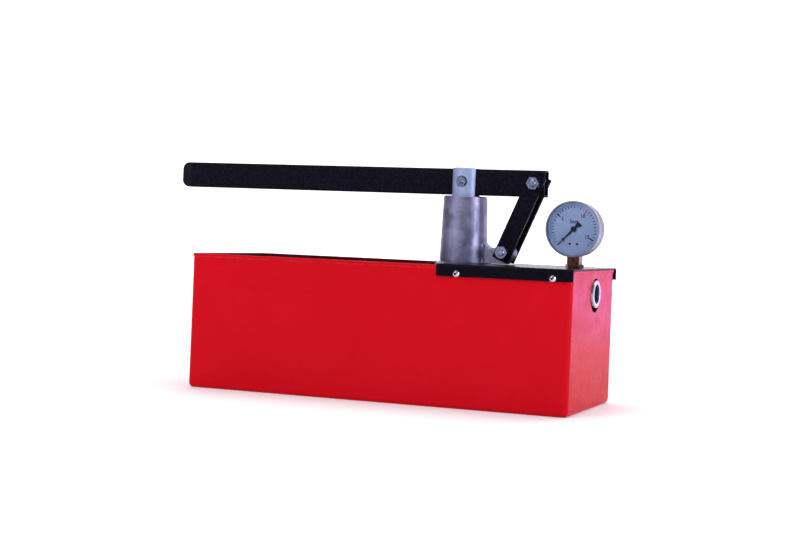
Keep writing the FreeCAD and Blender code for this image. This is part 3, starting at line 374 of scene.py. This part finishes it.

# %% [markdown]
# ### Black paints
#
# The cover has the same glossy enamel in black. The lever and its links have
# a thicker, blotchy black that hides weld spatter: it dries in small lumps,
# with a bluish sheen painted into the colour between them. A thin grey line
# painted on the sharpest edges, in patches, is a painted highlight.

# %% Black paints
def black_paint(name, rough, lumps, depth, sheen, worn):
    black = Finish(name, (0.01, 0.01, 0.012), rough=rough, specular=0.02)
    blotch = remap(black, clouds(black, lumps, 4.0, harsh=0.6), 0.38, 0.68)
    colour = mixed(black, blotch, (0.0030, 0.0024, 0.0058), sheen)
    # A thin grey line on the sharpest edges, in patches: a painted highlight.
    edge_glint = calc(black, "MULTIPLY", edges(black, 0.0006), remap(black, clouds(black, 220, 4.0), 0.42, 0.62))
    edge_glint = calc(black, "MULTIPLY", edge_glint, worn)
    black.link(mixed(black, edge_glint, colour, (0.07, 0.07, 0.09)), "Base Color")
    patchy = remap(black, clouds(black, lumps * 0.7, 5.0), 0.3, 0.7, rough - 0.1, rough + 0.14)
    black.link(patchy, "Roughness")
    relief(black, clouds(black, lumps, 3.0, harsh=0.6), depth, 0.8)
    relief(black, clouds(black, lumps * 4, 2.0), depth * 0.25, 0.6)
    return black


finishes["black_gloss_paint"] = black_paint(
    "black_enamel", 0.22, 300, 0.00004, (0.0060, 0.0048, 0.0100), 0.6).material
finishes["black_textured_paint"] = black_paint(
    "lever_paint", 0.38, 330, 0.00022, (0.0085, 0.0074, 0.0165), 0.3).material
print("black paints:", [finishes[k].name for k in ("black_gloss_paint", "black_textured_paint")])

# %% [markdown]
# ### Metals
#
# One recipe serves the metals, with other numbers for each: a colour that
# drifts in clouds, a roughness that drifts at another size, a fine relief for
# the way it was made, and edges polished bright by handling. As-cast
# aluminium is the roughest, with a pebbled skin from the sand. Ground and
# turned parts have fine rings round their axis instead.

# %% Metals
def metal(name, dark, light, rough, spread, cloud_scale, grain_scale, grain_depth,
          edge_gain=0.5, grain_stretch=(1, 1, 1), metallic=1.0):
    piece = Finish(name, light, metal=metallic, rough=rough)
    drift = remap(piece, clouds(piece, cloud_scale, 5.0, harsh=0.6), 0.32, 0.68)
    bright = tuple(min(1.0, value * 1.25) for value in light)
    worn = calc(piece, "MULTIPLY", edges(piece, 0.0008), edge_gain)
    piece.link(mixed(piece, worn, mixed(piece, drift, dark, light), bright), "Base Color")
    patchy = remap(piece, clouds(piece, cloud_scale * 2.3, 4.0), 0.3, 0.7, rough - spread, rough + spread)
    piece.link(calc(piece, "SUBTRACT", patchy, calc(piece, "MULTIPLY", worn, spread)), "Roughness")
    relief(piece, clouds(piece, grain_scale, 3.0, stretch=grain_stretch, harsh=0.6), grain_depth, 0.7)
    return piece


cast = metal(
    "cast_aluminium", (0.11, 0.108, 0.185), (0.26, 0.255, 0.40),
    0.40, 0.12, 55, 420, 0.00018, 0.7, metallic=0.85)
relief(cast, clouds(cast, 130, 2.0), 0.0006, 0.35)
finishes["cast_aluminium"] = cast.material
finishes["zinc_plated_steel"] = metal(
    "zinc_plate", (0.15, 0.17, 0.28), (0.27, 0.30, 0.45),
    0.25, 0.05, 90, 900, 0.000004, 0.9).material
finishes["ground_steel"] = metal(
    "ground_steel", (0.23, 0.29, 0.48), (0.29, 0.36, 0.58),
    0.36, 0.07, 60, 90, 0.00002, 0.3, (1, 1, 26), 0.35).material
finishes["bearing_steel"] = metal(
    "bearing_steel", (0.66, 0.66, 0.69), (0.78, 0.78, 0.80),
    0.10, 0.04, 300, 1500, 0.000005, 0.1).material
finishes["stainless_steel"] = metal(
    "stainless_steel", (0.44, 0.44, 0.46), (0.62, 0.62, 0.63),
    0.32, 0.08, 200, 700, 0.00002, 0.5).material
finishes["turned_steel"] = metal(
    "turned_steel", (0.30, 0.30, 0.34), (0.55, 0.55, 0.60),
    0.30, 0.08, 160, 120, 0.00003, 0.7, (18, 1, 1)).material
finishes["bronze"] = metal(
    "bronze", (0.36, 0.20, 0.09), (0.60, 0.38, 0.18),
    0.35, 0.10, 180, 100, 0.00003, 0.5, (1, 1, 20)).material
# Brass is coloured very dark: painted shade, for the dark surroundings the stem mirrors.
finishes["brass"] = metal(
    "brass", (0.050, 0.020, 0.014), (0.15, 0.075, 0.036),
    0.28, 0.09, 170, 800, 0.00001, 0.6).material
print("metals:", [k for k in finishes if "steel" in k or k in ("brass", "bronze", "cast_aluminium")])

# %% [markdown]
# ### Plastics, rubber and the gauge
#
# The lever's end cap and the release knob are moulded with a fine leathery
# grain. The gauge's case is a light grey enamel, its bezel a satin grey, and
# the dial a cool printed white. Even a clean dial is not one flat colour: a
# faint cloudiness makes it read as a sheet.

# %% Plastics, rubber and enamel
def plain_coat(name, dark, light, rough, grain_scale, grain_depth,
               cloud_scale=60, worn=0.2, specular=0.5):
    piece = Finish(name, light, rough=rough, specular=specular)
    drift = remap(piece, clouds(piece, cloud_scale, 4.0), 0.3, 0.7)
    bright = tuple(min(1.0, value * 1.3 + 0.02) for value in light)
    rim = calc(piece, "MULTIPLY", edges(piece, 0.0006), worn)
    piece.link(mixed(piece, rim, mixed(piece, drift, dark, light), bright), "Base Color")
    patchy = remap(piece, clouds(piece, cloud_scale * 3, 4.0), 0.3, 0.7, rough - 0.08, rough + 0.08)
    piece.link(patchy, "Roughness")
    relief(piece, clouds(piece, grain_scale, 2.0), grain_depth, 0.6)
    return piece


finishes["rubber"] = plain_coat(
    "seal_rubber", (0.008, 0.008, 0.009), (0.022, 0.021, 0.021),
    0.7, 1200, 0.00003).material
finishes["black_plastic"] = plain_coat(
    "moulded_black", (0.0040, 0.0034, 0.0070), (0.0085, 0.0074, 0.0150),
    0.5, 900, 0.00006, specular=0.05).material
finishes["gauge_case_enamel"] = plain_coat(
    "case_enamel", (0.13, 0.13, 0.15), (0.17, 0.165, 0.19),
    0.40, 500, 0.00002).material
finishes["gauge_bezel_grey"] = plain_coat(
    "bezel_grey", (0.15, 0.15, 0.24), (0.22, 0.22, 0.33),
    0.35, 700, 0.00002, worn=0.5).material
finishes["dial_white"] = plain_coat(
    "dial_white", (0.26, 0.36, 0.62), (0.32, 0.42, 0.68),
    0.45, 400, 0.000006, worn=0.1, specular=0.1).material
finishes["pointer_black"] = plain_coat(
    "pointer_black", (0.002, 0.002, 0.004), (0.005, 0.005, 0.009),
    0.5, 900, 0.00001, specular=0.1).material
print("plastics and gauge:", len(finishes), "finishes so far")

# %% [markdown]
# ### Window glass
#
# The window is thin clear glass. Real refraction through 1.6 mm changes
# nothing here and costs many light samples, so the glass is mostly open, by
# its alpha, and keeps a polished face for reflections. Fine dust dulls it in
# patches.

# %% Window glass
glass = Finish("window_glass", (0.05, 0.06, 0.08), rough=0.05, specular=0.6)
glass.set("Alpha", 0.08)
dust = remap(glass, clouds(glass, 90, 4.0), 0.35, 0.7)
glass.link(mixed(glass, dust, (0.03, 0.035, 0.05), (0.08, 0.09, 0.12)), "Base Color")
glass.link(remap(glass, clouds(glass, 120, 5.0), 0.35, 0.75, 0.03, 0.14), "Roughness")
relief(glass, clouds(glass, 40, 1.0), 0.00002, 0.2)
finishes["window_glass"] = glass.material
print("glass alpha", glass.shader.inputs["Alpha"].default_value)

# %% [markdown]
# Every CAD part is told its material slot in the record. The finishes above
# carry the same names, so one loop dresses all the parts. The cover screws get
# a finish of their own: a brighter zinc, with their sockets painted near black
# as painted shade. A socket is found as the points close to a screw's axis.
# The four screws mirror each other, so folding the distance from their middle
# with an absolute value finds all of them at once.

# %% Cover screws
screw_box = [Vector(corner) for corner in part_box("cover_screws")]
between = (screw_box[0] + screw_box[1]) / 2
HEAD_RADIUS, SOCKET_REACH = 3.8 * MM, 1.5 * MM
apart = (screw_box[1].x - screw_box[0].x) / 2 - HEAD_RADIUS
screw = metal("screw_zinc", (0.42, 0.43, 0.50), (0.66, 0.67, 0.74), 0.24, 0.06, 150, 900, 0.000004, 0.9)
aside = vector_step(screw, "SUBTRACT", screw.place, (between.x, 0, between.z))
aside = vector_step(screw, "SUBTRACT", vector_step(screw, "ABSOLUTE", aside), (apart, 0, 0))
from_axis = vector_step(screw, "LENGTH", vector_step(screw, "MULTIPLY", aside, (1, 0, 1)))
plated = screw.shader.inputs["Base Color"].links[0].from_socket
# Points near a screw's axis are painted near black: painted shade in the socket.
socket_shade = calc(screw, "LESS_THAN", from_axis, SOCKET_REACH)
screw.link(mixed(screw, socket_shade, plated, (0.006, 0.006, 0.012)), "Base Color")
screw.link(calc(screw, "SUBTRACT", 1.0, socket_shade), "Metallic")
print("screws stand", round(2 * apart / MM, 1), "mm apart")

# %% One finish for each part
slot_of = {row["node"]: row["material_slot"] for row in frame["record"]["subparts"]}
for node, part in frame["nodes"].items():
    part.data.materials.clear()
    part.data.materials.append(screw.material if node == "cover_screws" else finishes[slot_of[node]])
print("dressed", len(slot_of), "parts in", len(set(slot_of.values())), "finishes")

# %% [markdown]
# ## The gauge's printing
#
# The dial runs from 0 to 16 bar over 270 degrees, clockwise from the lower
# left, with a bold mark every 5, a mark every 1 and a fine one every half; the
# mark at 10 is longer and red.
# Printing is ink with almost no thickness, so each mark is a very thin block
# let into the dial. One helper turns a value into an angle, and one lays a
# block along the radius at that angle.

# %% Where a value stands on the dial
FULL_SCALE = 16.0
START_DEG, SWEEP_DEG = 225.0, 270.0
INK = 0.06 * MM


def dial_turn(value):
    """The dial's turn at a value, measured from its right-hand side, in radians."""
    return math.radians(START_DEG - SWEEP_DEG * value / FULL_SCALE)


def on_dial(turn, reach):
    """The place on the dial's face at a turn and a distance from its middle."""
    across, upward = reach * math.cos(turn), reach * math.sin(turn)
    return Vector((gauge_middle.x + across, dial_face, gauge_middle.z + upward))


def printed_bar(ink, turn, inner, outer, width):
    """A thin block along the radius, from inner to outer."""
    block = bmesh.ops.create_cube(ink, size=1.0)["verts"]
    bmesh.ops.scale(ink, vec=(outer - inner, INK, width), verts=block)
    bmesh.ops.rotate(ink, cent=(0, 0, 0), matrix=Matrix.Rotation(-turn, 3, "Y"), verts=block)
    bmesh.ops.translate(ink, vec=on_dial(turn, (inner + outer) / 2), verts=block)


print("5 bar stands at", round(math.degrees(dial_turn(5)), 1), "degrees")

# %% Scale marks
EDGE_OF_SCALE = 26.0 * MM
NUMBERED, RED_VALUE = (0, 5, 10, 15), 10
FINE_MARK, WHOLE_MARK, BOLD_MARK = (2.6, 0.62), (3.0, 0.78), (5.2, 1.45)
ink = bmesh.new()
for half_bar in range(2 * int(FULL_SCALE) + 1):
    value = half_bar / 2
    length, width = FINE_MARK if half_bar % 2 else WHOLE_MARK
    if value in NUMBERED:
        length, width = BOLD_MARK
    if value != RED_VALUE:
        printed_bar(ink, dial_turn(value), EDGE_OF_SCALE - length * MM, EDGE_OF_SCALE, width * MM)
marks = new_piece("dial_marks", ink)
red_ink = bmesh.new()
red_start, red_end = EDGE_OF_SCALE - 8.0 * MM, EDGE_OF_SCALE + 0.6 * MM
printed_bar(red_ink, dial_turn(RED_VALUE), red_start, red_end, 1.2 * MM)
red_mark = new_piece("dial_red_mark", red_ink)
print("dial marks:", len(marks.data.polygons), "faces")

# %% [markdown]
# Numbers start as Blender text, because fonts already hold good shapes. Text
# is a curve, so it is turned into a mesh first, then stood upright to face
# the front and moved to its place on the dial. All the words end up in one
# piece.

# %% Numbers and unit
STROKE_GAIN = 0.022
NUMBER_RING, NUMBER_SIZE = 17.6 * MM, 5.6 * MM
UNIT_TURN, UNIT_REACH, UNIT_SIZE = math.radians(96), 8.5 * MM, 6.0 * MM


def printed_word(ink, word, place, size):
    """Adds a word, centred on a place on the dial, to a bmesh."""
    letters = bpy.data.curves.new("word", "FONT")
    letters.body, letters.size = word, size
    letters.align_x, letters.align_y = "CENTER", "CENTER"
    letters.extrude = INK / 2
    letters.offset = size * STROKE_GAIN
    holder = bpy.data.objects.new("word", letters)
    bpy.context.scene.collection.objects.link(holder)
    bpy.context.view_layer.update()
    flat = bpy.data.meshes.new_from_object(holder)
    flat.transform(Matrix.Translation(place) @ Matrix.Rotation(math.radians(90), 4, "X"))
    ink.from_mesh(flat)
    bpy.data.objects.remove(holder)
    bpy.data.curves.remove(letters)
    bpy.data.meshes.remove(flat)


ink = bmesh.new()
for value in NUMBERED:
    printed_word(ink, str(value), on_dial(dial_turn(value), NUMBER_RING), NUMBER_SIZE)
printed_word(ink, "bar", on_dial(UNIT_TURN, UNIT_REACH), UNIT_SIZE)
bmesh.ops.remove_doubles(ink, verts=ink.verts, dist=0.000002)
words = new_piece("dial_words", ink)
print("dial words:", len(words.data.polygons), "faces")

# %% Ink, and what the printing rides on
inks = plain_coat(
    "dial_ink", (0.003, 0.003, 0.010), (0.008, 0.009, 0.022), 0.5, 900, 0.000003, worn=0.0, specular=0.1)
red_inks = plain_coat(
    "dial_red_ink", (0.42, 0.008, 0.02), (0.56, 0.02, 0.035), 0.5, 900, 0.000003, worn=0.0)
for piece, colour, slot in (
        (marks, inks, "pointer_black"),
        (words, inks, "pointer_black"),
        (red_mark, red_inks, "red_paint")):
    piece.data.materials.append(colour.material)
    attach(piece, "tank_and_pump")
print("printing rides on the tank_and_pump body")

# %% [markdown]
# ## Turned pieces
#
# A lathe makes the outlet, the bolts and other round parts. Blender's lathe
# is the spin operator: half of the outline, drawn on one side of the axis, is
# swept once round it. A helper takes the outline as pairs of distance along
# the axis and radius. Where the outline starts and ends on the axis, the
# sweep leaves a pole of doubled points, which are merged.

# %% A lathe
def lathe(shape, outline, centre, axis, steps=64):
    """Sweeps (along, radius) pairs round the X, Y or Z axis through centre."""
    lengthwise = Vector([float(axis == name) for name in "XYZ"])
    outward = Vector((1, 0, 0)) if axis == "Z" else Vector((0, 0, 1))
    spots = [shape.verts.new(lengthwise * along + outward * radius) for along, radius in outline]
    on_axis = outline[0][1] == 0
    lines = [shape.edges.new(pair) for pair in zip(spots, spots[1:] + ([] if on_axis else spots[:1]))]
    bmesh.ops.spin(
        shape, geom=spots + lines, cent=(0, 0, 0), axis=lengthwise,
        angle=math.tau, steps=steps, use_merge=True)
    bmesh.ops.remove_doubles(shape, verts=shape.verts, dist=0.001 * MM)
    across = Vector(centre) - lengthwise * lengthwise.dot(centre)
    bmesh.ops.translate(shape, vec=across, verts=shape.verts)
    bmesh.ops.recalc_face_normals(shape, faces=shape.faces)


def add_part(shape, part):
    """Puts a finished part into a larger shape, and frees it."""
    loose = bpy.data.meshes.new("loose")
    part.to_mesh(loose)
    part.free()
    shape.from_mesh(loose)
    bpy.data.meshes.remove(loose)


def threads(start, end, tip_radius, pitch):
    """Outline of a threaded tip, from its free end up to a distance along it."""
    root = tip_radius - 0.6 * pitch
    points = [(start, 0), (start, root), (start + 0.3 * pitch, root + 0.1 * pitch)]
    cut = start + 0.4 * pitch
    while cut + pitch < end:
        points += [(cut + 0.45 * pitch, tip_radius), (cut + 0.55 * pitch, tip_radius), (cut + pitch, root)]
        cut += pitch
    return points + [(cut + 0.5 * pitch, tip_radius)]


def shade(piece, angle_deg=35):
    """Smooth shading, with faces that meet more sharply than an angle kept crisp."""
    piece.data.polygons.foreach_set("use_smooth", [True] * len(piece.data.polygons))
    piece.data.set_sharp_from_angle(angle=math.radians(angle_deg))


print("lathe ready")

# %% [markdown]
# ### Outlet
#
# The outlet is a steel ring with a G 1/2 pipe thread inside, which the CAD
# model keeps as a plain bore. The real thread has 14 turns to the inch, so a
# turn is 1.81 mm. At this size a true helix and a row of V grooves look the
# same, and grooves keep the ring a clean closed solid, so the outline zigzags
# between the thread's small and large radius. The thread and bore behind the
# lip take a second, much darker finish: painted shade inside the hole.

# %% Outlet with its thread
low, high = (Vector(corner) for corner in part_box("outlet_fitting"))
mouth, rear_end = high.x, low.x
shoulder = mouth - 15 * MM
BORE, BODY, RING = 6.0 * MM, 12.0 * MM, 15.5 * MM
PITCH, SMALL, LARGE = 1.814 * MM, 9.315 * MM, 10.45 * MM
SHADED_WITHIN, UNSHADED_LIP = 10.7 * MM, 0.6 * MM
outline = [
    (rear_end, BORE), (rear_end + 0.5 * MM, BODY - 0.5 * MM), (rear_end + 1 * MM, BODY),
    (shoulder, BODY), (shoulder, RING - 0.3 * MM), (shoulder + 0.3 * MM, RING),
    (mouth - 0.8 * MM, RING), (mouth - 0.25 * MM, RING - 0.25 * MM), (mouth, RING - 0.8 * MM),
    (mouth, 11.25 * MM), (mouth - 0.25 * MM, 10.95 * MM), (mouth - 1.6 * MM, SMALL)]
thread_start, thread_end = mouth - 1.7 * MM, mouth - 14.0 * MM
groove = thread_start
while groove - PITCH > thread_end:
    outline += [
        (groove - 0.12 * PITCH, SMALL), (groove - 0.5 * PITCH, LARGE), (groove - 0.62 * PITCH, LARGE)]
    groove -= PITCH
outline += [(groove, SMALL), (shoulder, SMALL), (shoulder, BORE)]
ring = bmesh.new()
lathe(ring, outline, outlet_middle, "X", steps=96)
outlet = new_piece("outlet_ring", ring)
shade(outlet, 25)
outlet.data.materials.append(finishes["turned_steel"])
# The bore's dark finish is painted shade.
bore_shade = metal(
    "thread_shade", (0.012, 0.013, 0.022), (0.060, 0.065, 0.105), 0.45, 0.10, 300, 700, 0.00001, 0.6)
outlet.data.materials.append(bore_shade.material)
for face in outlet.data.polygons:
    spoke = face.center - outlet_middle
    if math.hypot(spoke.y, spoke.z) < SHADED_WITHIN and face.center.x < mouth - UNSHADED_LIP:
        face.material_index = 1
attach(outlet, "tank_and_pump")
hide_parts("outlet_fitting")
print("outlet:", len(outlet.data.polygons), "faces, thread turns", round((thread_start - groove) / PITCH))

# %% [markdown]
# ### Bolts
#
# Each pivot bolt has a hexagon head at the rear and shows its threaded tip at
# the front, past the nut. The head is a six-sided prism whose edges are
# bevelled, and the shank is turned on the lathe with V grooves at its tip.

# %% A hexagon bolt
def hex_bolt(node, shank_d, flats, head_height, pitch, threaded):
    """A bolt along Y in a CAD bolt's place, its tip at the front."""
    low, high = (Vector(corner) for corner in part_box(node))
    axis = (low + high) / 2
    head_start = high.y - head_height
    bolt = bmesh.new()
    outline = threads(low.y, low.y + threaded, shank_d / 2, pitch)
    outline += [(head_start + 0.2 * MM, shank_d / 2), (head_start + 0.2 * MM, 0)]
    lathe(bolt, outline, axis, "Y", steps=40)
    head = bmesh.new()
    corner = flats / math.sqrt(3)
    bmesh.ops.create_cone(
        head, cap_ends=True, segments=6, radius1=corner, radius2=corner, depth=head_height)
    rims = [edge for edge in head.edges if abs(edge.verts[0].co.z - edge.verts[1].co.z) < 0.001 * MM]
    bmesh.ops.bevel(
        head, geom=rims, offset=0.5 * MM, offset_type="OFFSET", affect="EDGES",
        segments=2, profile=0.5, material=-1)
    quarter = Matrix.Rotation(math.radians(90), 3, "X")
    bmesh.ops.rotate(head, cent=(0, 0, 0), matrix=quarter, verts=head.verts)
    bmesh.ops.translate(head, vec=(axis.x, head_start + head_height / 2, axis.z), verts=head.verts)
    bmesh.ops.recalc_face_normals(head, faces=head.faces)
    add_part(bolt, head)
    return bolt


# Shank diameter, width across flats, head height, pitch and threaded length.
M8 = (8 * MM, 13 * MM, 5.3 * MM, 1.25 * MM, 12 * MM)
M6 = (6 * MM, 10 * MM, 4.0 * MM, 1.0 * MM, 9 * MM)
for node, body, sizes in (
        ("upper_pivot_bolt", "links", M8),
        ("lower_pivot_bolt", "links", M8),
        ("plunger_bolt", "plunger", M6)):
    bolt = new_piece(node + "_threaded", hex_bolt(node, *sizes))
    shade(bolt, 25)
    bolt.data.materials.append(finishes["zinc_plated_steel"])
    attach(bolt, body)
    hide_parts(node)
    print(bolt.name, len(bolt.data.polygons), "faces")

# %% [markdown]
# Four studs are welded to the tank's floor and stand up through the pump's
# feet. Their threaded ends show above the nuts when one looks into the tank,
# so they are turned on the same lathe, this time round upright axes.

# %% Studs in the tank floor
low, high = (Vector(corner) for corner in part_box("floor_studs"))
STUD_RADIUS, STUD_PITCH, STUD_THREAD = 3 * MM, 1.0 * MM, 9 * MM
studs = bmesh.new()
for x in (low.x + STUD_RADIUS, high.x - STUD_RADIUS):
    for y in (low.y + STUD_RADIUS, high.y - STUD_RADIUS):
        stud = bmesh.new()
        tip = threads(-high.z, -high.z + STUD_THREAD, STUD_RADIUS, STUD_PITCH)
        outline = [(-along, radius) for along, radius in tip]
        outline += [(low.z, STUD_RADIUS), (low.z, 0)]
        lathe(stud, outline, (x, y, 0), "Z", steps=32)
        add_part(studs, stud)
threaded_studs = new_piece("floor_studs_threaded", studs)
shade(threaded_studs, 25)
threaded_studs.data.materials.append(finishes["zinc_plated_steel"])
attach(threaded_studs, "tank_and_pump")
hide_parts("floor_studs")
print("studs:", len(threaded_studs.data.polygons), "faces")
